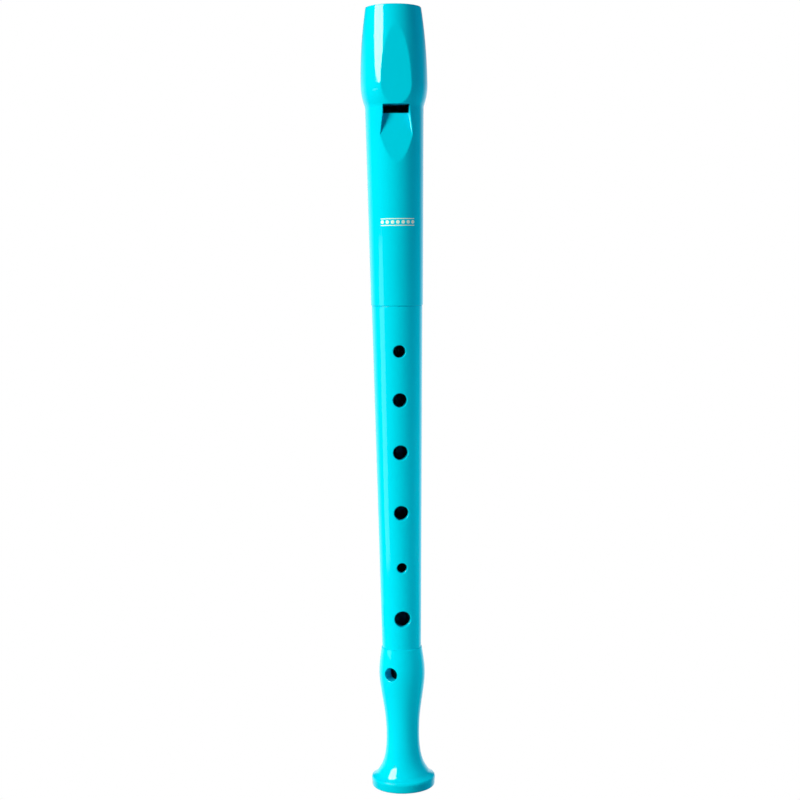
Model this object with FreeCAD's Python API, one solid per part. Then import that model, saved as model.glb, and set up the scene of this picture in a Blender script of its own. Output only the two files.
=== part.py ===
import FreeCAD, Part
import math
import os

# A two-piece soprano recorder, in millimetres.
#
# Frame: the origin is the centre of the foot's flat base, +Z runs up the bore to the mouthpiece,
# and the window and finger holes face -Y.
#
# Pieces:
#   body_joint      tenon, tapered barrel, finger holes, bulb, waist and bell in one moulding
#   head_joint      socket, barrel, labium ramp, window, windway roof and beak
#   windway_block   plug in the head bore whose flat front is the windway floor

# ---------------------------------------------------------------- driving dimensions

LENGTH = 325.6              # base of the foot to the tip of the beak
JOINT_Z = 204.2             # where the head's rim rests on the body's shoulder

# outside of the body joint
BASE_R = 13.3               # standing face
RIM_R = 13.52               # widest part of the bell, where its wall leans back into a narrow lip
RIM_Z = 3.37
BASE_EDGE = 0.55            # rounding of the standing face's edge
CREASE_R = 8.25             # barrel radius where it meets the bulb
CREASE_Z = 60.0
SHOULDER_R = 10.58          # barrel radius just under the head's rim

# radius and height of points that the bell, waist and bulb pass through, up from the lip's top
FOOT_CURVE = [
    (13.28, 4.1),
    (12.6, 4.5),
    (11.95, 4.95),
    (11.3, 5.55),
    (10.65, 6.42),
    (9.58, 8.1),
    (8.65, 10.0),
    (7.42, 14.9),
    (6.97, 22.4),
    (7.45, 30.9),
    (8.45, 37.9),
    (9.35, 44.1),
    (9.7, 48.8),
    (9.42, 53.6),
    (8.56, 59.85),
]

# tenon and socket
TENON_LENGTH = 25.0
TENON_R = 8.45
SOCKET_R = 8.50
SOCKET_FLOOR_GAP = 0.5      # between the tenon's end and the socket's floor
TENON_CHAMFER = 0.6
TENON_RELIEF = 0.2          # depth of the waist between the tenon's two sealing bands
TENON_BAND = 7.0            # length of each sealing band
SOCKET_CHAMFER = 0.4

# bore
FOOT_BORE_R = 4.8           # straight stretch at the foot
FOOT_BORE_TOP_Z = 24.0
BORE_MOUTH_CHAMFER = 0.8
TENON_BORE_R = 6.55         # bore radius at the tenon's end, down to FOOT_BORE_R by a straight taper
HEAD_BORE_R = 6.9

# groove moulded in the bell's underside, which keeps its wall even
GROOVE_INNER_R = 6.6
GROOVE_OUTER_R = 11.4
GROOVE_DEPTH = 1.2

# finger holes: height, diameter, and turn about the bore from the front line (minus is the right hand)
FRONT_HOLES = [
    (185.6, 5.1, 0.0),
    (165.4, 5.8, 0.0),
    (143.6, 6.1, 0.0),
    (118.3, 6.0, 0.0),
    (95.1, 4.2, 0.0),
    (73.3, 6.7, 0.0),
    (49.7, 5.6, -34.5),
]
THUMB_HOLE = (192.1, 5.4, 180.0)

# outside of the head joint
HEAD_RIM_R = 10.82
HEAD_RIM_EDGE = 0.25
NECK_R = 12.08              # barrel radius where it meets the mouthpiece bulge
NECK_Z = 285.6
BULGE_R = 13.75
BULGE_Z = 294.1             # widest height of the bulge
TIP_R = 11.5
TIP_EDGE = 0.4

# flat on the front of the mouthpiece: the plane's depth in front of the axis at two heights
FLAT_LOW = (12.13, 286.6)
FLAT_HIGH = (12.58, 316.6)

# beak: a concave cut from behind, an arc about an axis along X at the height of the tip
BEAK_THICKNESS_Y = -1.2     # y of the cut at the tip
BEAK_CUT_R = 49.7

# window, windway and labium
WINDOW_WIDTH = 10.3
WINDOW_TOP_Z = 285.75
LABIUM_Z = 282.4            # sharp edge
LABIUM_DEPTH = 8.3          # distance of the edge's front from the axis
LABIUM_THICKNESS = 0.5
RAMP_TIP_Z = 262.8          # where the ramp runs out on the barrel
RAMP_CHEEK_Z = 273.8        # where its side walls run out
RAMP_CHEEK_HALF = 6.5       # half its width there
CHEEK_DRAFT = math.radians(6.0)
LABIUM_FLAT = 1.0           # the edge keeps its thickness for this far down
UNDERCUT_END_Z = 268.6      # the hollow under the labium runs out on the bore below this
WINDWAY_EXIT_FLOOR = 7.3    # distances from the axis
WINDWAY_EXIT_ROOF = 8.4
WINDWAY_ENTRY_FLOOR = 7.6
WINDWAY_ENTRY_ROOF = 9.1
BLOCK_CHAMFER = 0.3         # at the windway's exit

FAR = 40.0                  # longer than any cut has to be
OVERSHOOT = 1.0             # how far a cutter reaches past the face it opens


# ---------------------------------------------------------------- helpers


def vec(x, y, z):
    return FreeCAD.Vector(x, y, z)


def at(radius, z):
    """A point of a lathe outline, drawn in the XZ plane."""
    return vec(radius, 0, z)


def polyline(points):
    """Straight edges through the points."""
    return [Part.makeLine(a, b) for a, b in zip(points, points[1:])]


def curve(points):
    """One smooth edge through the points."""
    spline = Part.BSplineCurve()
    spline.interpolate(points)
    return spline.toShape()


def rounded_corner(start, corner, end):
    """An arc that rounds a corner; its two ends are equally far from the corner, one on each side."""
    chord_middle = (start + end) * 0.5
    half_angle_sine = (end - start).Length / 2 / (corner - start).Length
    middle = corner + (chord_middle - corner) * (1 / (1 + half_angle_sine))
    return Part.Arc(start, middle, end).toShape()


def lathe(edges):
    """Turns a closed outline about the bore's axis."""
    wire = Part.Wire(edges)
    return Part.Face(wire).revolve(vec(0, 0, 0), vec(0, 0, 1), 360)


def turned(points):
    """A turned solid whose outline is all straight lines; the last point joins the first."""
    return lathe(polyline(points + points[:1]))


def side_prism(outline, half_width):
    """A prism across the recorder: outline holds (y, z) points, and the width runs along X."""
    points = [vec(-half_width, y, z) for y, z in outline]
    face = Part.Face(Part.makePolygon(points + points[:1]))
    return face.extrude(vec(2 * half_width, 0, 0))


def radial_drill(z, diameter, turn):
    """A drill from the bore's axis out through the wall; turn 0 points to the front."""
    angle = math.radians(turn)
    outward = vec(math.sin(angle), -math.cos(angle), 0)
    return Part.makeCylinder(diameter / 2, FAR, vec(0, 0, z), outward)


def save(shape, node):
    shape = shape.removeSplitter()
    assert shape.isValid() and len(shape.Solids) == 1, node
    shape.Solids[0].exportStep("parts/" + node + ".step")
    box = shape.BoundBox
    print(node, "volume", round(shape.Volume), "box", [round(v, 2) for v in
          (box.XMin, box.XMax, box.YMin, box.YMax, box.ZMin, box.ZMax)])


# ---------------------------------------------------------------- body joint


def body_outside():
    """The barrel, bulb, waist and bell, with the tenon on top."""
    tenon_top = JOINT_Z + TENON_LENGTH
    relief_r = TENON_R - TENON_RELIEF
    foot = [at(r, z) for r, z in FOOT_CURVE]
    base_round = rounded_corner(at(BASE_R - BASE_EDGE, 0), at(BASE_R, 0), at(BASE_R, BASE_EDGE))
    tenon = [
        at(CREASE_R, CREASE_Z),
        at(SHOULDER_R, JOINT_Z),
        at(TENON_R, JOINT_Z),
        at(TENON_R, JOINT_Z + TENON_BAND),
        at(relief_r, JOINT_Z + TENON_BAND + TENON_RELIEF),
        at(relief_r, tenon_top - TENON_BAND - TENON_RELIEF),
        at(TENON_R, tenon_top - TENON_BAND),
        at(TENON_R, tenon_top - TENON_CHAMFER),
        at(TENON_R - TENON_CHAMFER, tenon_top),
        at(0, tenon_top),
        at(0, 0),
        at(BASE_R - BASE_EDGE, 0),
    ]
    edges = [base_round]
    edges += polyline([at(BASE_R, BASE_EDGE), at(RIM_R, RIM_Z), foot[0]])
    edges += [curve(foot)]
    edges += polyline([foot[-1], at(CREASE_R, CREASE_Z)])
    edges += polyline(tenon)
    return lathe(edges)


def body_bore():
    """The air column, open at both ends: straight in the foot, then a taper up to the tenon's end."""
    top = JOINT_Z + TENON_LENGTH
    mouth_r = FOOT_BORE_R + BORE_MOUTH_CHAMFER
    return turned([
        at(0, -OVERSHOOT),
        at(mouth_r, -OVERSHOOT),
        at(mouth_r, 0),
        at(FOOT_BORE_R, BORE_MOUTH_CHAMFER),
        at(FOOT_BORE_R, FOOT_BORE_TOP_Z),
        at(TENON_BORE_R, top),
        at(TENON_BORE_R, top + OVERSHOOT),
        at(0, top + OVERSHOOT),
    ])


def underside_groove():
    """The ring cut up into the bell's underside, with sloping sides."""
    return turned([
        at(GROOVE_INNER_R, -OVERSHOOT),
        at(GROOVE_OUTER_R, -OVERSHOOT),
        at(GROOVE_OUTER_R, 0),
        at(GROOVE_OUTER_R - GROOVE_DEPTH / 2, GROOVE_DEPTH),
        at(GROOVE_INNER_R + GROOVE_DEPTH / 2, GROOVE_DEPTH),
        at(GROOVE_INNER_R, 0),
    ])


def make_body_joint():
    solid = body_outside().cut(body_bore()).cut(underside_groove())
    for z, diameter, turn in FRONT_HOLES + [THUMB_HOLE]:
        solid = solid.cut(radial_drill(z, diameter, turn))
    return solid


# ---------------------------------------------------------------- head joint


def bulge_point(z, end_r, end_z):
    """Radius of the mouthpiece bulge at z, on the arc from its widest place to the given end."""
    arc_r = ((end_z - BULGE_Z) ** 2 + (BULGE_R - end_r) ** 2) / (2 * (BULGE_R - end_r))
    return BULGE_R - arc_r + math.sqrt(arc_r ** 2 - (z - BULGE_Z) ** 2)


def bulge_arc(end_r, end_z):
    """One side of the bulge, from its widest place to the given end, flat at the widest place."""
    middle_z = (BULGE_Z + end_z) / 2
    middle_r = bulge_point(middle_z, end_r, end_z)
    return Part.Arc(at(BULGE_R, BULGE_Z), at(middle_r, middle_z), at(end_r, end_z)).toShape()


def head_outside():
    """The barrel and the round mouthpiece, before the beak is cut."""
    tip_shoulder = at(TIP_R, LENGTH - TIP_EDGE)
    edges = polyline([
        at(0, JOINT_Z),
        at(HEAD_RIM_R - HEAD_RIM_EDGE, JOINT_Z),
        at(HEAD_RIM_R, JOINT_Z + HEAD_RIM_EDGE),
        at(NECK_R, NECK_Z),
    ])
    edges += [bulge_arc(NECK_R, NECK_Z), bulge_arc(TIP_R, LENGTH - TIP_EDGE)]
    edges += polyline([
        tip_shoulder,
        at(TIP_R - TIP_EDGE, LENGTH),
        at(0, LENGTH),
        at(0, JOINT_Z),
    ])
    return lathe(edges)


def head_inside():
    """Socket for the tenon, then the bore, open right through to the tip where the block goes."""
    socket_floor = JOINT_Z + TENON_LENGTH + SOCKET_FLOOR_GAP
    return turned([
        at(0, JOINT_Z - OVERSHOOT),
        at(SOCKET_R + SOCKET_CHAMFER, JOINT_Z - OVERSHOOT),
        at(SOCKET_R + SOCKET_CHAMFER, JOINT_Z),
        at(SOCKET_R, JOINT_Z + SOCKET_CHAMFER),
        at(SOCKET_R, socket_floor),
        at(HEAD_BORE_R, socket_floor),
        at(HEAD_BORE_R, LENGTH + OVERSHOOT),
        at(0, LENGTH + OVERSHOOT),
    ])


def front_flat():
    """What is cut off the front of the mouthpiece to leave its flat."""
    low_y, low_z = FLAT_LOW
    high_y, high_z = FLAT_HIGH
    lean = (high_y - low_y) / (high_z - low_z)
    top_z = LENGTH + OVERSHOOT
    top_y = high_y + lean * (top_z - high_z)
    bottom_y = low_y - lean * (low_z - NECK_Z)
    return side_prism([(-bottom_y, NECK_Z), (-top_y, top_z), (-FAR, top_z), (-FAR, NECK_Z)], FAR)


def beak_cut():
    """The concave cut behind the mouthpiece that leaves the beak."""
    centre_y = BEAK_THICKNESS_Y + BEAK_CUT_R
    return Part.makeCylinder(BEAK_CUT_R, 2 * FAR, vec(-FAR, centre_y, LENGTH), vec(1, 0, 0))


def windway_space():
    """The slot in the front of the bore: the block's raised floor and the air above it."""
    rise = (WINDWAY_ENTRY_ROOF - WINDWAY_EXIT_ROOF) / (LENGTH - WINDOW_TOP_Z)
    top_z = LENGTH + OVERSHOOT
    return side_prism([
        (0, WINDOW_TOP_Z),
        (-WINDWAY_EXIT_ROOF, WINDOW_TOP_Z),
        (-WINDWAY_ENTRY_ROOF - rise * OVERSHOOT, top_z),
        (0, top_z),
    ], WINDOW_WIDTH / 2)


def ramp_y(z):
    """Depth of the ramp's plane at a height, from its tip on the barrel to the labium edge."""
    tip_r = HEAD_RIM_R + (NECK_R - HEAD_RIM_R) * (RAMP_TIP_Z - JOINT_Z) / (NECK_Z - JOINT_Z)
    slope = (tip_r - LABIUM_DEPTH) / (LABIUM_Z - RAMP_TIP_Z)
    return -tip_r + slope * (z - RAMP_TIP_Z)


def ramp_section(z, half_width):
    """The cut's section at a height: its floor on the ramp, its sides leaning out by the draft."""
    floor_y = ramp_y(z)
    spread = (FAR + floor_y) * math.tan(CHEEK_DRAFT)
    corners = [
        vec(-half_width, floor_y, z),
        vec(half_width, floor_y, z),
        vec(half_width + spread, -FAR, z),
        vec(-half_width - spread, -FAR, z),
    ]
    return Part.makePolygon(corners + corners[:1])


def ramp_cut():
    """Everything in front of the ramp. Its sides run straight past the window and then spread."""
    half = WINDOW_WIDTH / 2
    low_z = RAMP_TIP_Z - OVERSHOOT
    widening = (RAMP_CHEEK_HALF - half) / (LABIUM_Z - RAMP_CHEEK_Z)
    sections = [
        ramp_section(low_z, half + widening * (LABIUM_Z - low_z)),
        ramp_section(LABIUM_Z, half),
        ramp_section(WINDOW_TOP_Z, half),
    ]
    return Part.makeLoft(sections, True, True)


def window_cut():
    """The window, from the labium edge up to the mouthpiece, right into the bore."""
    corner = vec(-WINDOW_WIDTH / 2, -LABIUM_DEPTH, LABIUM_Z)
    return Part.makeBox(WINDOW_WIDTH, LABIUM_DEPTH, WINDOW_TOP_Z - LABIUM_Z, corner)


def labium_undercut():
    """The flat under the labium, which leaves its edge one thickness across."""
    under = LABIUM_DEPTH - LABIUM_THICKNESS
    return side_prism([
        (0, WINDOW_TOP_Z),
        (-under, WINDOW_TOP_Z),
        (-under, LABIUM_Z - LABIUM_FLAT),
        (0, UNDERCUT_END_Z),
    ], WINDOW_WIDTH / 2)


def make_head_joint():
    solid = head_outside().cut(head_inside())
    for tool in (front_flat(), beak_cut(), windway_space(), ramp_cut(), window_cut(),
                 labium_undercut()):
        solid = solid.cut(tool)
    return solid


# ---------------------------------------------------------------- windway block


def make_windway_block():
    """A plug as wide as the bore, with the windway's floor raised on its front."""
    length = LENGTH - WINDOW_TOP_Z
    plug = Part.makeCylinder(HEAD_BORE_R, length, vec(0, 0, WINDOW_TOP_Z), vec(0, 0, 1))
    floor = side_prism([
        (0, WINDOW_TOP_Z),
        (-WINDWAY_EXIT_FLOOR + BLOCK_CHAMFER, WINDOW_TOP_Z),
        (-WINDWAY_EXIT_FLOOR, WINDOW_TOP_Z + BLOCK_CHAMFER),
        (-WINDWAY_ENTRY_FLOOR, LENGTH),
        (0, LENGTH),
    ], WINDOW_WIDTH / 2)
    return plug.fuse(floor).cut(beak_cut())


os.makedirs("parts", exist_ok=True)
save(make_body_joint(), "body_joint")
save(make_head_joint(), "head_joint")
save(make_windway_block(), "windway_block")
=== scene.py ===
import math

import bpy
import numpy as np
from mathutils import Matrix, Vector


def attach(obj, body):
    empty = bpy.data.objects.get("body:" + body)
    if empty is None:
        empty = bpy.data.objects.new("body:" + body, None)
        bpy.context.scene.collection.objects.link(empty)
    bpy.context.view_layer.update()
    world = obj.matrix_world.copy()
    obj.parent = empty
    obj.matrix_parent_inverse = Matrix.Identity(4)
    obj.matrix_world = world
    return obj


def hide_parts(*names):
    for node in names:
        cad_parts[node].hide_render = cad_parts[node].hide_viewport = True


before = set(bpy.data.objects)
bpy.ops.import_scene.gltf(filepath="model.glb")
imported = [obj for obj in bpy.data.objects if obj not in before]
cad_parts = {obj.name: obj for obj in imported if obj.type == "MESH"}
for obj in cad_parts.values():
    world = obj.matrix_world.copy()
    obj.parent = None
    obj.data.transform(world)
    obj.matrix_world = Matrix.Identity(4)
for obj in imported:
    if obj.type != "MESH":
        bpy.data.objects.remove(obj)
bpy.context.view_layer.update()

# A two-piece soprano recorder: looks for the three CAD nodes.
#
# Each moulding is described as a field, which is negative inside the plastic and about the distance in
# millimetres from its surface. A net of quads is laid on the field's zero surface, so that every edge
# has the small radius that a mould leaves. Frame: the origin is the centre of the foot's base,
# +Z runs up to the mouthpiece, and the window and finger holes face -Y.

MM = 0.001
COARSE = 1.0

# ---------------------------------------------------------------- driving dimensions, millimetres

LENGTH = 325.6
JOINT_Z = 204.2

# outside of the body joint; the rim is the widest part of the bell
BASE_R = 13.3
RIM_R = 13.52
RIM_Z = 3.37
BASE_EDGE = 0.55
CREASE_R = 8.25
CREASE_Z = 60.0
SHOULDER_R = 10.58

# radius and height of points that the bell, waist and bulb pass through, up from the lip's top
FOOT_CURVE = [
    (13.28, 4.1),
    (12.6, 4.5),
    (11.95, 4.95),
    (11.3, 5.55),
    (10.65, 6.42),
    (9.58, 8.1),
    (8.65, 10.0),
    (7.42, 14.9),
    (6.97, 22.4),
    (7.45, 30.9),
    (8.45, 37.9),
    (9.35, 44.1),
    (9.7, 48.8),
    (9.42, 53.6),
    (8.56, 59.85),
]

# tenon, socket and bore
TENON_LENGTH = 25.0
TENON_R = 8.45
TENON_CHAMFER = 0.6
TENON_RELIEF = 0.2
TENON_BAND = 7.0
SOCKET_R = 8.5
SOCKET_FLOOR_GAP = 0.5
FOOT_BORE_R = 4.8
FOOT_BORE_TOP_Z = 24.0
BORE_MOUTH_CHAMFER = 0.8
TENON_BORE_R = 6.55
HEAD_BORE_R = 6.9

# groove in the bell's underside
GROOVE_INNER_R = 6.6
GROOVE_OUTER_R = 11.4
GROOVE_DEPTH = 1.2

# finger holes: height, diameter, and turn about the bore from the front line
HOLES = [
    (185.6, 5.1, 0.0),
    (165.4, 5.8, 0.0),
    (143.6, 6.1, 0.0),
    (118.3, 6.0, 0.0),
    (95.1, 4.2, 0.0),
    (73.3, 6.7, 0.0),
    (49.7, 5.6, -34.5),
    (192.1, 5.4, 180.0),
]

# outside of the head joint
HEAD_RIM_R = 10.82
NECK_R = 12.08
NECK_Z = 285.6
BULGE_R = 13.75
BULGE_Z = 294.1
TIP_R = 11.5
TIP_EDGE = 0.4

# flat on the front of the mouthpiece: the plane's depth in front of the axis at two heights
FLAT_LOW = (12.13, 286.6)
FLAT_HIGH = (12.58, 316.6)

# beak: a concave cut from behind, an arc about an axis along X at the height of the tip
BEAK_THICKNESS_Y = -1.2
BEAK_CUT_R = 49.7

# window, windway and labium
WINDOW_WIDTH = 10.3
WINDOW_TOP_Z = 285.75
LABIUM_Z = 282.4
LABIUM_DEPTH = 8.3
LABIUM_THICKNESS = 0.5
LABIUM_FLAT = 1.0
UNDERCUT_END_Z = 268.6
RAMP_TIP_Z = 262.8
RAMP_CHEEK_Z = 273.8
RAMP_CHEEK_HALF = 6.5
CHEEK_DRAFT = math.radians(6.0)
WINDWAY_EXIT_FLOOR = 7.3
WINDWAY_EXIT_ROOF = 8.4
WINDWAY_ENTRY_FLOOR = 7.6
WINDWAY_ENTRY_ROOF = 9.1

# radii that the mould leaves on edges and in corners
RIM_FILLET = 0.25           # head's rim and the body's shoulder
LIP_FILLET = 0.12           # where the bell's narrow lip meets the flare
HOLE_FILLET = 0.3
CREASE_FILLET = 0.12
BULB_TOP_FILLET = 0.12
BORE_FILLET = 0.2
NECK_FILLET = 0.3
FLAT_FILLET = 0.12
BEAK_FILLET = 0.45
CHEEK_FILLET = 0.15
WINDOW_FILLET = 0.15
CORNER_FILLET = 0.2
SEAM_FILLET = 0.12          # where the block meets the head
BLOCK_GAP = 0.03            # what shows of the joint round the block


# ---------------------------------------------------------------- fields


def unite(a, b, fillet):
    """Both solids together, with a fillet where their surfaces meet."""
    reach = np.hypot(np.maximum(fillet - a, 0), np.maximum(fillet - b, 0))
    return np.maximum(fillet, np.minimum(a, b)) - reach


def overlap(a, b, rounding):
    """What two solids share, with the new edge rounded."""
    reach = np.hypot(np.maximum(rounding + a, 0), np.maximum(rounding + b, 0))
    return np.minimum(-rounding, np.maximum(a, b)) + reach


def cut(solid, tool, rounding):
    """The solid without the tool, with the new edge rounded."""
    return overlap(solid, -tool, rounding)


def box(*sides):
    """The sharp-edged space where every side is negative."""
    result = sides[0]
    for side in sides[1:]:
        result = np.maximum(result, side)
    return result


def natural_spline(knots, values, at):
    """A cubic through the values, straight at both ends and beyond them."""
    gaps = np.diff(knots)
    slopes = np.diff(values) / gaps
    count = len(knots)
    matrix = np.eye(count)
    right = np.zeros(count)
    for i in range(1, count - 1):
        matrix[i, i - 1:i + 2] = gaps[i - 1], 2 * (gaps[i - 1] + gaps[i]), gaps[i]
        right[i] = 6 * (slopes[i] - slopes[i - 1])
    bends = np.linalg.solve(matrix, right)
    i = np.clip(np.searchsorted(knots, at) - 1, 0, count - 2)
    left = at - knots[i]
    rest = knots[i + 1] - at
    chord = (values[i] * rest + values[i + 1] * left) / gaps[i]
    return chord - left * rest * (
        bends[i] * (1 + rest / gaps[i]) + bends[i + 1] * (1 + left / gaps[i])
    ) / 6


def foot_table():
    """Heights and radii close together along the foot's curve, carried on straight past its ends."""
    points = np.array(FOOT_CURVE)
    knots = np.append(0, np.cumsum(np.hypot(*np.diff(points, axis=0).T)))
    along = np.linspace(0, knots[-1], 600)
    radii = natural_spline(knots, points[:, 0], along)
    heights = natural_spline(knots, points[:, 1], along)
    reach = 3.0
    for end, step in ((0, 1), (-1, -2)):
        direction = np.array([radii[end] - radii[step], heights[end] - heights[step]])
        far = np.array([radii[end], heights[end]]) + reach * direction / np.hypot(*direction)
        radii = np.append(radii, far[0]) if end else np.insert(radii, 0, far[0])
        heights = np.append(heights, far[1]) if end else np.insert(heights, 0, far[1])
    return heights, radii


FOOT_HEIGHTS, FOOT_RADII = foot_table()
FOOT_SLOPES = np.gradient(FOOT_RADII, FOOT_HEIGHTS)


def line(z, start, end):
    """Radius at a height on the straight line through two (radius, height) points."""
    return start[0] + (end[0] - start[0]) * (z - start[1]) / (end[1] - start[1])


def foot_field(r, z):
    """Bell, waist and bulb."""
    lean = np.hypot(1, np.interp(z, FOOT_HEIGHTS, FOOT_SLOPES))
    top = (r - np.interp(z, FOOT_HEIGHTS, FOOT_RADII)) / lean
    wall = r - line(z, (BASE_R, BASE_EDGE), (RIM_R, RIM_Z))
    lip_reach = 2.0     # the lip's slope stops well above the lip, so that it doesn't cut into the bulb
    lip = r - line(np.minimum(z, RIM_Z + lip_reach), (RIM_R, RIM_Z), FOOT_CURVE[0])
    bell = overlap(top, np.maximum(wall, lip), LIP_FILLET)
    bell = overlap(bell, -z, BASE_EDGE)
    return overlap(bell, z - CREASE_Z, BULB_TOP_FILLET)


def barrel_field(r, z):
    """The body's taper, from inside the bulb up to the shoulder under the head."""
    side = r - line(z, (CREASE_R, CREASE_Z), (SHOULDER_R, JOINT_Z))
    barrel = overlap(side, z - JOINT_Z, RIM_FILLET)
    inside_bulb = 8.0
    return np.maximum(barrel, CREASE_Z - inside_bulb - z)


def tenon_field(r, z):
    """The tenon, with a shallow waist between its two sealing bands and a lead-in at its end."""
    top = JOINT_Z + TENON_LENGTH
    relief = TENON_R - TENON_RELIEF
    outline = [
        (JOINT_Z + TENON_BAND, TENON_R),
        (JOINT_Z + TENON_BAND + TENON_RELIEF, relief),
        (top - TENON_BAND - TENON_RELIEF, relief),
        (top - TENON_BAND, TENON_R),
        (top - TENON_CHAMFER, TENON_R),
        (top, TENON_R - TENON_CHAMFER),
    ]
    heights, radii = np.array(outline).T
    side = r - np.interp(z, heights, radii)
    inside_barrel = 5.0
    return np.maximum(overlap(side, z - top, CORNER_FILLET), JOINT_Z - inside_barrel - z)


def bore_field(r, z):
    """The body's air column: a chamfered mouth, a straight stretch and a taper."""
    outline = [
        (0, FOOT_BORE_R + BORE_MOUTH_CHAMFER),
        (BORE_MOUTH_CHAMFER, FOOT_BORE_R),
        (FOOT_BORE_TOP_Z, FOOT_BORE_R),
        (JOINT_Z + TENON_LENGTH, TENON_BORE_R),
    ]
    heights, radii = np.array(outline).T
    return r - np.interp(z, heights, radii)


def groove_field(r, z):
    """The ring in the bell's underside, with sloping sides."""
    middle = (GROOVE_INNER_R + GROOVE_OUTER_R) / 2
    half = (GROOVE_OUTER_R - GROOVE_INNER_R) / 2
    side = np.abs(r - middle) - half + z / 2
    return overlap(side, z - GROOVE_DEPTH, CORNER_FILLET)


def body_field(points):
    """The body joint: foot, barrel and tenon, less the bore, the groove and the finger holes."""
    x, y, z = points.T
    r = np.hypot(x, y)
    solid = unite(foot_field(r, z), barrel_field(r, z), CREASE_FILLET)
    solid = unite(solid, tenon_field(r, z), CORNER_FILLET)
    solid = cut(solid, bore_field(r, z), BORE_FILLET)
    solid = cut(solid, groove_field(r, z), CORNER_FILLET)
    for height, diameter, turn in HOLES:
        angle = math.radians(turn)
        outward = x * math.sin(angle) - y * math.cos(angle)
        across = x * math.cos(angle) + y * math.sin(angle)
        drill = np.maximum(np.hypot(across, z - height) - diameter / 2, -outward)
        solid = cut(solid, drill, HOLE_FILLET)
    return solid


def bulge_field(r, z, end_r, end_z):
    """One side of the mouthpiece's bulge: inside the arc from its widest place to the given end."""
    rise = BULGE_R - end_r
    arc_r = ((end_z - BULGE_Z) ** 2 + rise ** 2) / (2 * rise)
    return np.hypot(r - BULGE_R + arc_r, z - BULGE_Z) - arc_r


def head_outside(r, z):
    """The barrel and the bulged mouthpiece as turned, before the flat and the beak."""
    side = r - line(z, (HEAD_RIM_R, JOINT_Z), (NECK_R, NECK_Z))
    barrel = np.maximum(overlap(side, JOINT_Z - z, RIM_FILLET), z - BULGE_Z)
    lower = bulge_field(r, z, NECK_R, NECK_Z)
    upper = bulge_field(r, z, TIP_R, LENGTH)
    bulge = np.where(z < BULGE_Z, lower, upper)
    return unite(barrel, bulge, NECK_FILLET)


def flat_field(y, z):
    """Everything behind the flat. Below the neck the plane leans away from the barrel."""
    low_y, low_z = FLAT_LOW
    high_y, high_z = FLAT_HIGH
    lean = (high_y - low_y) / (high_z - low_z)
    plane = low_y + lean * (z - low_z) + np.maximum(NECK_Z - z, 0)
    return -y - plane


def beak_field(y, z):
    """The round tool that hollows the back of the mouthpiece."""
    return np.hypot(y - BEAK_THICKNESS_Y - BEAK_CUT_R, z - LENGTH) - BEAK_CUT_R


def head_bore_field(r, z):
    """Socket for the tenon, then the bore, open right through to the tip."""
    socket_floor = JOINT_Z + TENON_LENGTH + SOCKET_FLOOR_GAP
    return np.minimum(np.maximum(r - SOCKET_R, z - socket_floor), r - HEAD_BORE_R)


def windway_depth(z, exit_depth, entry_depth):
    """Distance from the axis of the windway's floor or roof at a height."""
    return line(z, (exit_depth, WINDOW_TOP_Z), (entry_depth, LENGTH))


def ramp_field(x, y, z):
    """The space in front of the labium ramp. Its sides run straight past the window, then spread."""
    half = WINDOW_WIDTH / 2
    tip_r = line(RAMP_TIP_Z, (HEAD_RIM_R, JOINT_Z), (NECK_R, NECK_Z))
    floor_y = -line(z, (tip_r, RAMP_TIP_Z), (LABIUM_DEPTH, LABIUM_Z))
    widening = (RAMP_CHEEK_HALF - half) / (LABIUM_Z - RAMP_CHEEK_Z)
    width = half + widening * np.maximum(LABIUM_Z - z, 0) + (floor_y - y) * math.tan(CHEEK_DRAFT)
    space = overlap(y - floor_y, np.abs(x) - width, CORNER_FILLET)
    return np.maximum(space, z - WINDOW_TOP_Z)


def undercut_field(y, z, side):
    """The hollow behind the labium, which leaves its edge one thickness across."""
    under = LABIUM_DEPTH - LABIUM_THICKNESS
    slant_start = LABIUM_Z - LABIUM_FLAT
    rise = (slant_start - UNDERCUT_END_Z) / under
    slant = (UNDERCUT_END_Z - rise * y - z) / math.hypot(1, rise)
    return box(side, y, -y - under, slant, z - WINDOW_TOP_Z)


def head_field(points):
    """The head joint: the outside, less the beak's cut, bore, windway, ramp, window and undercut."""
    x, y, z = points.T
    r = np.hypot(x, y)
    side = np.abs(x) - WINDOW_WIDTH / 2
    solid = head_outside(r, z)
    solid = overlap(solid, flat_field(y, z), FLAT_FILLET)
    solid = overlap(solid, z - LENGTH, TIP_EDGE)
    solid = cut(solid, beak_field(y, z), BEAK_FILLET)
    solid = cut(solid, head_bore_field(r, z), BORE_FILLET)
    roof = windway_depth(z, WINDWAY_EXIT_ROOF, WINDWAY_ENTRY_ROOF)
    solid = cut(solid, box(side, -y - roof, y, WINDOW_TOP_Z - z), SEAM_FILLET)
    solid = cut(solid, ramp_field(x, y, z), CHEEK_FILLET)
    window = box(side, LABIUM_Z - z, z - WINDOW_TOP_Z, y)
    solid = cut(solid, window, WINDOW_FILLET)
    return cut(solid, undercut_field(y, z, side), WINDOW_FILLET)


def block_field(points):
    """A plug as wide as the bore, with the windway's floor raised on its front."""
    x, y, z = points.T
    r = np.hypot(x, y)
    floor = windway_depth(z, WINDWAY_EXIT_FLOOR, WINDWAY_ENTRY_FLOOR)
    raised = box(np.abs(x) - WINDOW_WIDTH / 2 + BLOCK_GAP, -y - floor, y)
    solid = np.minimum(r - HEAD_BORE_R + BLOCK_GAP, raised)
    solid = overlap(solid, WINDOW_TOP_Z - z, SEAM_FILLET)
    solid = overlap(solid, z - LENGTH, SEAM_FILLET)
    return cut(solid, beak_field(y, z), SEAM_FILLET)


# ---------------------------------------------------------------- nets


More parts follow.
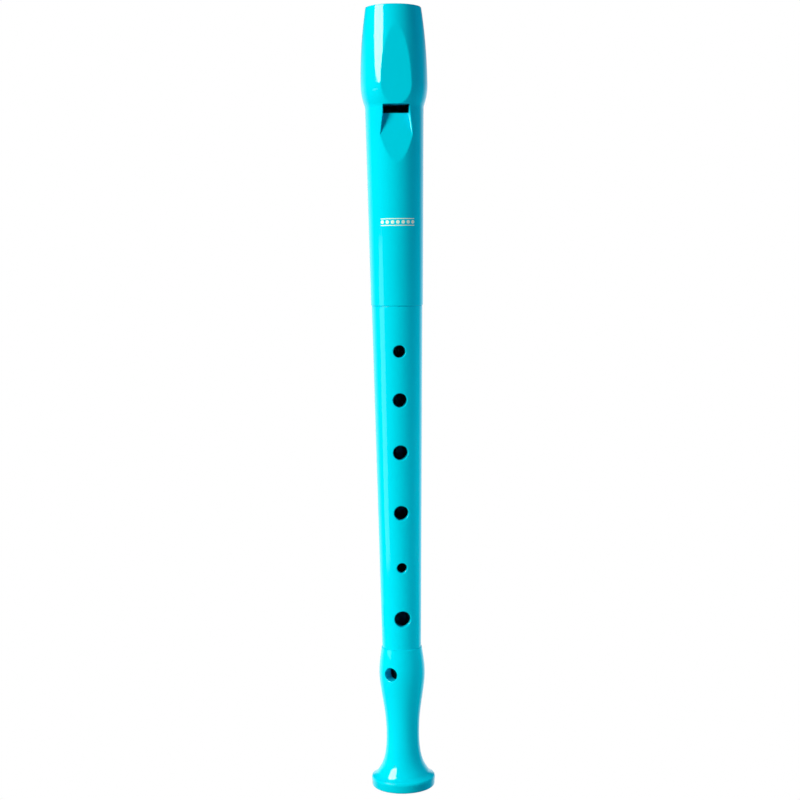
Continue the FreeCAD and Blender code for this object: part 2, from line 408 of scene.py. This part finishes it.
def spaced(stretches):
    """Grid values for (start, end, step) stretches laid end to end."""
    values = []
    for start, end, step in stretches:
        count = max(1, round((end - start) / (step * COARSE)))
        values.extend(np.linspace(start, end, count, endpoint=False))
    values.append(stretches[-1][1])
    return np.array(values)


def with_fine_zones(low, high, coarse, zones):
    """Stretches from low to high: each zone (start, end, step) has its own step, the rest is coarse."""
    stretches = []
    reached = low
    for start, end, step in sorted(zones):
        start = max(start, reached)
        if end <= start:
            continue
        if start > reached:
            stretches.append((reached, start, coarse))
        stretches.append((start, end, step))
        reached = end
    if high > reached:
        stretches.append((reached, high, coarse))
    return stretches


def round_grid(turns, heights, radii):
    """Nodes of a grid about the bore's axis; the last turn comes round to the first."""
    turn, z, r = np.meshgrid(np.radians(turns[:-1]), heights, radii, indexing="ij")
    return np.stack([r * np.sin(turn), -r * np.cos(turn), z], axis=-1)


def straight_grid(xs, ys, zs):
    return np.stack(np.meshgrid(xs, ys, zs, indexing="ij"), axis=-1)


TINY = 1e-12        # keeps a division by a length of nothing harmless
CELL_CORNERS = [(i, j, k) for i in (0, 1) for j in (0, 1) for k in (0, 1)]
CELL_EDGES = [
    (a, b) for a in CELL_CORNERS for b in CELL_CORNERS
    if a < b and sum(q - p for p, q in zip(a, b)) == 1 and min(q - p for p, q in zip(a, b)) == 0
]


def net_vertices(values, nodes):
    """One vertex in each cell that the surface crosses: the mean of the crossings on its edges."""
    inside = values < 0
    shape = tuple(n - 1 for n in values.shape)
    filled = np.zeros(shape, int)
    for i, j, k in CELL_CORNERS:
        filled += inside[i:i + shape[0], j:j + shape[1], k:k + shape[2]]
    crossed = (filled > 0) & (filled < len(CELL_CORNERS))
    cells = np.argwhere(crossed)
    total = np.zeros((len(cells), 3))
    count = np.zeros(len(cells))
    for start, end in CELL_EDGES:
        a = tuple((cells + start).T)
        b = tuple((cells + end).T)
        hit = inside[a] != inside[b]
        share = np.where(hit, values[a] / np.where(hit, values[a] - values[b], 1), 0)
        point = nodes[a] + share[:, None] * (nodes[b] - nodes[a])
        total += point * hit[:, None]
        count += hit
    index = np.full(shape, -1)
    index[crossed] = np.arange(len(cells))
    return total / count[:, None], index


def net_quads(inside, index, closed):
    """A quad round each grid edge that crosses the surface, facing out of the solid."""
    quads = []
    for axis in range(3):
        second, third = (axis + 1) % 3, (axis + 2) % 3
        lower = np.take(inside, range(inside.shape[axis] - 1), axis)
        upper = np.take(inside, range(1, inside.shape[axis]), axis)
        at = np.argwhere(lower != upper)
        if closed:
            at = at[at[:, 0] < index.shape[0]]
        ring = []
        for step_second, step_third in ((-1, -1), (0, -1), (0, 0), (-1, 0)):
            cell = at.copy()
            cell[:, second] += step_second
            cell[:, third] += step_third
            if closed:
                cell[:, 0] %= index.shape[0]
            ring.append(index[tuple(cell.T)])
        quad = np.stack(ring, axis=1)
        outward = lower[tuple(at.T)]
        quads.append(np.where(outward[:, None], quad, quad[:, ::-1]))
    return np.concatenate(quads)


def gradient(field, points):
    """How fast the field rises in each direction."""
    probe = 0.01
    columns = []
    for axis in range(3):
        step = np.zeros(3)
        step[axis] = probe
        columns.append((field(points + step) - field(points - step)) / (2 * probe))
    return np.stack(columns, axis=1)


def settle(field, points, rounds):
    """Moves points straight onto the surface."""
    longest_step = 0.3
    least_steepness = 0.05
    for _ in range(rounds):
        slope = gradient(field, points)
        steepness = np.maximum((slope ** 2).sum(axis=1), least_steepness)
        step = slope * (field(points) / steepness)[:, None]
        length = np.maximum(np.linalg.norm(step, axis=1), TINY)
        points = points - step * np.minimum(1, longest_step / length)[:, None]
    return points


def unit(vectors):
    return vectors / np.maximum(np.linalg.norm(vectors, axis=1), TINY)[:, None]


def even_out(field, points, quads, rounds):
    """Slides points along the surface, half of the way to the middle of their neighbours."""
    ends_a = quads.ravel()
    ends_b = np.roll(quads, -1, axis=1).ravel()
    count = np.bincount(ends_a, minlength=len(points)) + np.bincount(ends_b, minlength=len(points))
    for _ in range(rounds):
        total = np.zeros_like(points)
        for axis in range(3):
            total[:, axis] = np.bincount(ends_a, points[ends_b, axis], len(points))
            total[:, axis] += np.bincount(ends_b, points[ends_a, axis], len(points))
        pull = total / count[:, None] - points
        normal = unit(gradient(field, points))
        pull -= normal * (pull * normal).sum(axis=1)[:, None]
        points = settle(field, points + pull / 2, 2)
    return points


def net_mesh(name, field, nodes, closed):
    """The mesh on a field's surface, in metres, with the field's own normals."""
    if closed:
        nodes = np.concatenate([nodes, nodes[:1]])
    values = field(nodes.reshape(-1, 3)).reshape(nodes.shape[:3])
    points, index = net_vertices(values, nodes)
    quads = net_quads(values < 0, index, closed)
    rounds = 3
    points = settle(field, points, rounds)
    points = even_out(field, points, quads, rounds)
    points = settle(field, points, rounds)
    normals = unit(gradient(field, points))
    mesh = bpy.data.meshes.new(name)
    mesh.vertices.add(len(points))
    mesh.vertices.foreach_set("co", (points * MM).ravel())
    mesh.loops.add(quads.size)
    mesh.loops.foreach_set("vertex_index", quads.ravel())
    mesh.polygons.add(len(quads))
    mesh.polygons.foreach_set("loop_start", np.arange(0, quads.size, 4))
    mesh.polygons.foreach_set("use_smooth", np.ones(len(quads), bool))
    mesh.update(calc_edges=True)
    mesh.validate()
    mesh.normals_split_custom_set_from_vertices(normals.tolist())
    return mesh


def add_piece(name, mesh, body, material):
    piece = bpy.data.objects.new(name, mesh)
    bpy.context.scene.collection.objects.link(piece)
    mesh.materials.append(material)
    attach(piece, body)
    return piece


# ---------------------------------------------------------------- materials


def new_material(name):
    material = bpy.data.materials.new(name)
    material.use_nodes = True
    nodes = material.node_tree.nodes
    return material, nodes, material.node_tree.links, nodes["Principled BSDF"]


def noise(nodes, links, coordinates, scale, detail):
    """Noise on the piece's own coordinates; scale is in features per metre."""
    texture = nodes.new("ShaderNodeTexNoise")
    texture.inputs["Scale"].default_value = scale
    texture.inputs["Detail"].default_value = detail
    links.new(coordinates, texture.inputs["Vector"])
    return texture.outputs["Fac"]


def remap(nodes, links, value, low, high):
    """A 0 to 1 value stretched over low to high."""
    node = nodes.new("ShaderNodeMapRange")
    node.inputs["To Min"].default_value = low
    node.inputs["To Max"].default_value = high
    links.new(value, node.inputs["Value"])
    return node.outputs["Result"]


def fade(nodes, links, value, low, high, at_low, at_high):
    """A smooth change from at_low to at_high as the value goes from low to high."""
    node = nodes.new("ShaderNodeMapRange")
    node.interpolation_type = "SMOOTHSTEP"
    node.inputs["From Min"].default_value = low
    node.inputs["From Max"].default_value = high
    node.inputs["To Min"].default_value = at_low
    node.inputs["To Max"].default_value = at_high
    links.new(value, node.inputs["Value"])
    return node.outputs["Result"]


def make_plastic():
    """Gloss-moulded cyan ABS: faint flow clouds, an uneven polish and a slight orange peel.

    It also carries painted shade: the colour darkens to near black where little open space is within
    reach, down in the bores.
    """
    material, nodes, links, shader = new_material("cyan_abs")
    coordinates = nodes.new("ShaderNodeTexCoord").outputs["Object"]
    clouds = noise(nodes, links, coordinates, scale=60, detail=3)
    tint = nodes.new("ShaderNodeMix")
    tint.data_type = "RGBA"
    tint.inputs["A"].default_value = (0.0, 0.56, 0.93, 1)
    tint.inputs["B"].default_value = (0.0, 0.59, 0.97, 1)
    links.new(clouds, tint.inputs["Factor"])
    # painted shade: ambient occlusion mixes the base colour towards near black in the bores and holes,
    # where shade falls
    openness = nodes.new("ShaderNodeAmbientOcclusion")
    openness.samples = 8
    openness.inputs["Distance"].default_value = 0.03
    enclosed, open_air = 0.04, 0.14
    unshaded_share = fade(nodes, links, openness.outputs["AO"], enclosed, open_air, 0.0, 1.0)
    painted_shade_colour = (0.0, 0.02, 0.03, 1)
    painted_shade_mix = nodes.new("ShaderNodeMix")
    painted_shade_mix.data_type = "RGBA"
    painted_shade_mix.inputs["A"].default_value = painted_shade_colour
    links.new(tint.outputs["Result"], painted_shade_mix.inputs["B"])
    links.new(unshaded_share, painted_shade_mix.inputs["Factor"])
    links.new(painted_shade_mix.outputs["Result"], shader.inputs["Base Color"])
    polish = noise(nodes, links, coordinates, scale=220, detail=4)
    links.new(remap(nodes, links, polish, low=0.03, high=0.08), shader.inputs["Roughness"])
    shader.inputs["IOR"].default_value = 1.53
    peel = nodes.new("ShaderNodeBump")
    peel.inputs["Distance"].default_value = 4e-6
    peel.inputs["Strength"].default_value = 1.0
    links.new(noise(nodes, links, coordinates, scale=900, detail=2), peel.inputs["Height"])
    sink = nodes.new("ShaderNodeBump")
    sink.inputs["Distance"].default_value = 1.2e-5
    links.new(noise(nodes, links, coordinates, scale=90, detail=1), sink.inputs["Height"])
    links.new(peel.outputs["Normal"], sink.inputs["Normal"])
    links.new(sink.outputs["Normal"], shader.inputs["Normal"])
    return material


def make_ink():
    """Pad-printed white ink, a little thin in places."""
    material, nodes, links, shader = new_material("white_ink")
    coordinates = nodes.new("ShaderNodeTexCoord").outputs["Object"]
    cover = nodes.new("ShaderNodeMix")
    cover.data_type = "RGBA"
    cover.inputs["A"].default_value = (0.35, 0.72, 0.8, 1)
    cover.inputs["B"].default_value = (0.82, 0.9, 0.92, 1)
    speckle = noise(nodes, links, coordinates, scale=2500, detail=2)
    links.new(remap(nodes, links, speckle, low=0.2, high=1.2), cover.inputs["Factor"])
    links.new(cover.outputs["Result"], shader.inputs["Base Color"])
    shader.inputs["Roughness"].default_value = 0.4
    return material


# ---------------------------------------------------------------- pieces


# Each grid is fine where edges and holes are. Rows of zones are start, end and step.


def body_grid():
    top = JOINT_Z + TENON_LENGTH
    zones = [
        (-0.5, RIM_Z - 0.6, 0.25),
        (RIM_Z - 0.6, RIM_Z + 1.4, 0.1),
        (RIM_Z + 1.4, RIM_Z + 4, 0.25),
        (CREASE_Z - 0.8, CREASE_Z + 0.6, 0.16),
        (JOINT_Z - 0.6, JOINT_Z + 0.6, 0.2),
        (top - 1.2, top + 0.5, 0.25),
    ]
    for band in (JOINT_Z + TENON_BAND, top - TENON_BAND):
        zones.append((band - 0.4, band + 0.4, 0.2))
    for height, diameter, _ in HOLES:
        reach = diameter / 2 + 0.9
        zones.append((height - reach, height + reach, 0.35))
    heights = spaced(with_fine_zones(-0.5, top + 0.5, 1.8, zones))
    turns = spaced([(-52, 26, 1.6), (26, 158, 4.2), (158, 202, 2.2), (202, 308, 4.2)])
    radii = spaced([(FOOT_BORE_R - 0.6, RIM_R - 0.6, 0.4), (RIM_R - 0.6, RIM_R + 0.4, 0.2)])
    return round_grid(turns, heights, radii)


def head_grid():
    socket_floor = JOINT_Z + TENON_LENGTH + SOCKET_FLOOR_GAP
    zones = [
        (JOINT_Z - 0.5, JOINT_Z + 1.0, 0.2),
        (socket_floor - 0.5, socket_floor + 0.5, 0.3),
        (RAMP_TIP_Z - 2, LABIUM_Z - 0.6, 0.26),
        (LABIUM_Z - 0.6, WINDOW_TOP_Z + 0.7, 0.13),
        (WINDOW_TOP_Z + 0.7, WINDOW_TOP_Z + 2, 0.26),
        (WINDOW_TOP_Z + 2, LENGTH - 7, 0.5),
        (LENGTH - 7, LENGTH + 0.5, 0.3),
    ]
    heights = spaced(with_fine_zones(JOINT_Z - 0.5, LENGTH + 0.5, 1.5, zones))
    turns = spaced([(-46, 46, 1.35), (46, 314, 2.5)])
    bore_side = 9.1
    radii = spaced([(HEAD_BORE_R - 0.6, bore_side, 0.24), (bore_side, BULGE_R + 0.5, 0.36)])
    return round_grid(turns, heights, radii)


def block_grid():
    wide = HEAD_BORE_R + 0.6
    xs = spaced([(-wide, wide, 0.42)])
    ys = spaced([(-WINDWAY_ENTRY_FLOOR - 0.5, wide, 0.42)])
    zs = spaced([(WINDOW_TOP_Z - 0.5, LENGTH + 0.5, 0.5)])
    return straight_grid(xs, ys, zs)


def wrapped(s, z, lift):
    """A place on the head's barrel: s millimetres round from the front line, lift above the surface."""
    surface = line(z, (HEAD_RIM_R, JOINT_Z), (NECK_R, NECK_Z))
    turn = s / surface
    r = surface + lift
    return r * math.sin(turn) * MM, -r * math.cos(turn) * MM, z * MM


def rule_outline(width, z, thickness):
    """A straight rule across the front, with enough corners to bend round the barrel."""
    steps = np.linspace(-width / 2, width / 2, 41)
    low = [(s, z - thickness / 2) for s in steps]
    high = [(s, z + thickness / 2) for s in steps[::-1]]
    return low + high


def dot_outline(middle, z, radius):
    turns = np.linspace(0, 2 * math.pi, 28, endpoint=False)
    return [(middle + radius * math.cos(turn), z + radius * math.sin(turn)) for turn in turns]


def mark_mesh():
    """A generic printed mark: a row of seven dots between two rules, wrapped on the head's front."""
    width = 14.6
    middle_z = 238.4
    rule_gap = 1.35
    rule_height = 0.34
    dots = 7
    dot_r = 0.72
    sunk, proud = -0.04, 0.02
    outlines = [rule_outline(width, middle_z + side * rule_gap, rule_height) for side in (-1, 1)]
    for middle in np.linspace(-width / 2 + dot_r, width / 2 - dot_r, dots):
        outlines.append(dot_outline(middle, middle_z, dot_r))
    vertices, faces = [], []
    for outline in outlines:
        count = len(outline)
        bottom = range(len(vertices), len(vertices) + count)
        top = range(bottom.stop, bottom.stop + count)
        vertices += [wrapped(s, z, sunk) for s, z in outline]
        vertices += [wrapped(s, z, proud) for s, z in outline]
        for i in range(count // 2 - 1):
            across = count - 1 - i
            faces.append((top[i], top[i + 1], top[across - 1], top[across]))
            faces.append((bottom[i], bottom[across], bottom[across - 1], bottom[i + 1]))
        for i in range(count):
            faces.append((bottom[i - 1], bottom[i], top[i], top[i - 1]))
    mesh = bpy.data.meshes.new("printed_mark")
    mesh.from_pydata(vertices, [], faces)
    mesh.validate()
    return mesh


plastic = make_plastic()
ink = make_ink()

body_mesh = net_mesh("body_moulding", body_field, body_grid(), True)
body = add_piece("body_moulding", body_mesh, "body", plastic)
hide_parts("body_joint")

head_mesh = net_mesh("head_moulding", head_field, head_grid(), True)
head = add_piece("head_moulding", head_mesh, "head", plastic)
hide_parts("head_joint")

block_mesh = net_mesh("block_moulding", block_field, block_grid(), False)
block = add_piece("block_moulding", block_mesh, "head", plastic)
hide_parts("windway_block")

add_piece("printed_mark", mark_mesh(), "head", ink)


# ---------------------------------------------------------------- floor, light and camera


def make_floor():
    """A matt white ring on the table that only throws light back up.

    It is open under the bell, where the table would be in the bell's own shade.
    """
    inner = 0.03
    outer = 0.24
    corners = 64
    turns = [2 * math.pi * i / corners for i in range(corners)]
    spots = [(r * math.cos(turn), r * math.sin(turn), 0) for r in (inner, outer) for turn in turns]
    faces = []
    for i in range(corners):
        after = (i + 1) % corners
        faces.append((i, corners + i, corners + after, after))
    mesh = bpy.data.meshes.new("floor")
    mesh.from_pydata(spots, [], faces)
    floor = bpy.data.objects.new("floor", mesh)
    bpy.context.scene.collection.objects.link(floor)
    floor.visible_camera = False
    floor.visible_glossy = False
    material, _, _, shader = new_material("white_floor")
    shader.inputs["Base Color"].default_value = (0.7, 0.7, 0.7, 1)
    shader.inputs["Roughness"].default_value = 0.6
    shader.inputs["Specular IOR Level"].default_value = 0.0
    mesh.materials.append(material)


def combine(nodes, links, operation, first, second):
    """Two values added or multiplied."""
    node = nodes.new("ShaderNodeMath")
    node.operation = operation
    links.new(first, node.inputs[0])
    links.new(second, node.inputs[1])
    return node.outputs["Value"]


def choose(nodes, links, switch, otherwise, chosen):
    """The chosen value where the switch is 1."""
    node = nodes.new("ShaderNodeMix")
    links.new(switch, node.inputs["Factor"])
    for name, value in (("A", otherwise), ("B", chosen)):
        if isinstance(value, float):
            node.inputs[name].default_value = value
        else:
            links.new(value, node.inputs[name])
    return node.outputs["Result"]


def make_world():
    """A room with soft light from behind and from the right.

    In gloss only its far wall shows, and the camera sees plain white.
    """
    world = bpy.data.worlds.new("studio")
    bpy.context.scene.world = world
    world.use_nodes = True
    nodes, links = world.node_tree.nodes, world.node_tree.links
    background = nodes["Background"]
    direction = nodes.new("ShaderNodeTexCoord").outputs["Generated"]
    parts = nodes.new("ShaderNodeSeparateXYZ")
    links.new(direction, parts.inputs["Vector"])
    path = nodes.new("ShaderNodeLightPath")
    right, back, up = (parts.outputs[axis] for axis in "XYZ")
    from_behind = fade(nodes, links, back, 0.0, 1.0, 0.0, 0.8)
    from_right = fade(nodes, links, right, 0.0, 1.0, 0.0, 0.6)
    lit = combine(nodes, links, "ADD", from_behind, from_right)
    far_wall = fade(nodes, links, back, 0.35, 0.9, 0.0, 1.0)
    below_top = fade(nodes, links, up, 0.05, 0.25, 1.0, 0.0)
    mirrored = combine(nodes, links, "MULTIPLY", far_wall, below_top)
    strength = choose(nodes, links, path.outputs["Is Glossy Ray"], lit, mirrored)
    strength = choose(nodes, links, path.outputs["Is Camera Ray"], strength, 1.0)
    links.new(strength, background.inputs["Strength"])
    background.inputs["Color"].default_value = (1, 1, 1, 1)


def add_panel(name, distance, rows, brightness):
    """A panel that shows only in gloss, bent round the recorder's axis at a distance.

    Each row is a height in metres and the turns in degrees, from the recorder's front, of the panel's
    left and right edges. A brightness of 0 makes a black card.
    """
    columns = 12
    vertices = []
    for height, left, right in rows:
        for turn in np.radians(np.linspace(left, right, columns)):
            vertices.append((math.sin(turn) * distance, -math.cos(turn) * distance, height))
    faces = []
    for row in range(len(rows) - 1):
        for column in range(columns - 1):
            corner = row * columns + column
            faces.append((corner, corner + 1, corner + columns + 1, corner + columns))
    mesh = bpy.data.meshes.new(name)
    mesh.from_pydata(vertices, [], faces)
    panel = bpy.data.objects.new(name, mesh)
    bpy.context.scene.collection.objects.link(panel)
    panel.visible_camera = False
    panel.visible_diffuse = False
    panel.visible_shadow = False
    material, _, _, shader = new_material(name)
    shader.inputs["Base Color"].default_value = (0, 0, 0, 1)
    shader.inputs["Specular IOR Level"].default_value = 0.0
    shader.inputs["Emission Color"].default_value = (1, 1, 1, 1)
    shader.inputs["Emission Strength"].default_value = brightness
    mesh.materials.append(material)


def add_softbox(name, turn, distance, height, size, power, colour):
    """A square light that shows only in matt reflection, at a turn about the recorder from its front."""
    angle = math.radians(turn)
    place = Vector((math.sin(angle) * distance, -math.cos(angle) * distance, height))
    target = Vector((0, 0, 0.17))
    light = bpy.data.lights.new(name, "AREA")
    light.size = size
    light.energy = power
    light.color = colour
    lamp = bpy.data.objects.new(name, light)
    bpy.context.scene.collection.objects.link(lamp)
    lamp.location = place
    lamp.rotation_euler = (target - place).to_track_quat("-Z", "Y").to_euler()
    lamp.visible_camera = False
    lamp.visible_glossy = False


def make_camera():
    """Metres and degrees: the camera stands in front, a little to the left, and looks slightly down."""
    distance = 0.6329
    height = 0.2222
    azimuth = math.radians(-4.2)
    tilt = math.radians(5.19)
    pan = math.radians(0.064)
    roll = math.radians(-0.78)
    camera_data = bpy.data.cameras.new("camera")
    camera_data.sensor_width = 36
    camera_data.lens = 68.4
    camera = bpy.data.objects.new("camera", camera_data)
    bpy.context.scene.collection.objects.link(camera)
    place = Vector((math.sin(azimuth) * distance, -math.cos(azimuth) * distance, height))
    turn = Matrix.Rotation(azimuth - pan, 4, "Z") @ Matrix.Rotation(math.pi / 2 - tilt, 4, "X")
    camera.matrix_world = Matrix.Translation(place) @ turn @ Matrix.Rotation(roll, 4, "Z")
    bpy.context.scene.camera = camera


# the main light as it shows in gloss: a wide panel up on the left with rounded lower corners
KEY_PANEL = [
    (0.385, -58, -52),
    (0.392, -63, -46),
    (0.410, -68, -43),
    (0.435, -72, -43),
    (0.510, -76, -43),
    (0.600, -82, -43),
    (0.680, -87, -46),
    (0.900, -90, -46),
    (1.300, -94, -52),
]

# a faint upright strip lower down on the left
SIDE_PANEL = [
    (-0.360, -88, -62),
    (-0.260, -93, -66),
    (0.100, -90, -64),
    (0.210, -82, -65),
]

# black cards close by keep stray reflections off the bell and bulb, the bulge and the crease:
# name, distance from the axis, lowest and highest, left and right
BLACK_CARDS = [
    ("low_card", 0.1, 0.0, 0.054, -105, -45),
    ("high_card", 0.1, 0.249, 0.284, -105, -45),
    ("crease_card", 0.02, 0.0655, 0.0755, -105, -30),
]

WARM = (1, 1, 0.7)

make_floor()
make_world()
add_panel("key_panel", 0.8, KEY_PANEL, brightness=13)
add_panel("side_panel", 2.0, SIDE_PANEL, brightness=1.05)
for name, distance, lowest, highest, left, right in BLACK_CARDS:
    add_panel(name, distance, [(lowest, left, right), (highest, left, right)], brightness=0)
add_softbox("key", turn=-58.5, distance=2.0, height=1.0, size=0.8, power=79, colour=WARM)
add_softbox("low_right", turn=95, distance=0.15, height=0.11, size=0.1, power=0.14, colour=WARM)
make_camera()
bpy.context.scene.view_settings.view_transform = "Standard"
